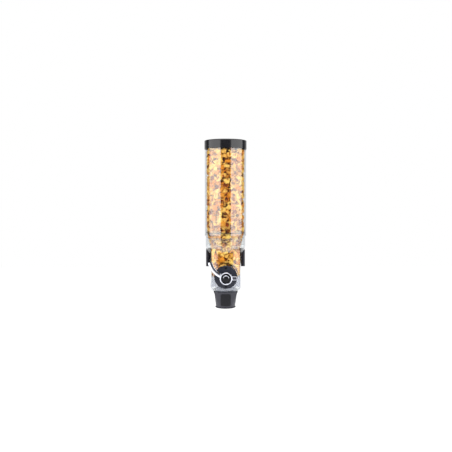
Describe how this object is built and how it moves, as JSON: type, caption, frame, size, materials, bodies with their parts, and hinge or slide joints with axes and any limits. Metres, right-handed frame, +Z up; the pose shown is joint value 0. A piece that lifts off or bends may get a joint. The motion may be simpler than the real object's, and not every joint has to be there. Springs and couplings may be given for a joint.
{
  "type": "gravity bulk food bin",
  "caption": "Wall-hung gravity bin for dry food: clear tube with a lid, bladed metering wheel turned by a chrome lever, and a tapered spout below.",
  "frame": {"origin": "centre of the wall bracket's flat wall face", "axes": "+Z up along the tube, +Y into the wall, so the lever and spout face -Y; +X is to the user's right"},
  "size_m": [0.1428, 0.1795, 0.5665],
  "materials": {
    "clear_plastic": "clear moulded, polished",
    "charcoal_plastic": "moulded, satin to gloss",
    "bracket_plastic": "moulded, fine satin",
    "frosted_plastic": "translucent, frosted",
    "silicone": "soft, matt",
    "seal_rubber": "matt",
    "acetal": "machined, satin",
    "chrome": "bright plated",
    "screw_steel": "turned"
  },
  "bodies": {
    "bracket": {"wall_bracket": "bracket_plastic", "cradle_pads": "seal_rubber"},
    "bin": {"hopper_tube": "clear_plastic", "tube_seal": "seal_rubber", "lower_body": "clear_plastic", "funnel": "clear_plastic", "metering_trough": "frosted_plastic", "rear_bush": "acetal", "front_cover": "charcoal_plastic", "cover_seal": "seal_rubber", "cover_screws": "screw_steel", "front_bush": "acetal", "spout": "charcoal_plastic", "spout_seal": "seal_rubber", "spout_panel": "charcoal_plastic"},
    "wheel": {"wheel_shaft": "screw_steel", "wheel_core": "acetal", "paddle_wheel": "silicone", "thrust_washer": "acetal", "hub_body": "charcoal_plastic", "lever": "chrome", "arm_inlay": "charcoal_plastic", "tail_inlay": "charcoal_plastic", "lever_screw": "screw_steel", "hub_cap": "charcoal_plastic", "cap_arc": "chrome"},
    "lid": {"lid": "charcoal_plastic", "lid_seal": "seal_rubber"}
  },
  "joints": [
    {"name": "bin_lift", "type": "slide", "parent": "bracket", "child": "bin", "axis": [0, 0, 1], "range_m": [0, 0.058]},
    {"name": "lid_lift", "type": "slide", "parent": "bin", "child": "lid", "axis": [0, 0, 1], "range_m": [0, 0.06]},
    {"name": "wheel_turn", "type": "hinge", "parent": "bin", "child": "wheel", "pos_m": [0, -0.082, -0.0572], "axis": [0, -1, 0], "continuous": true}
  ]
}
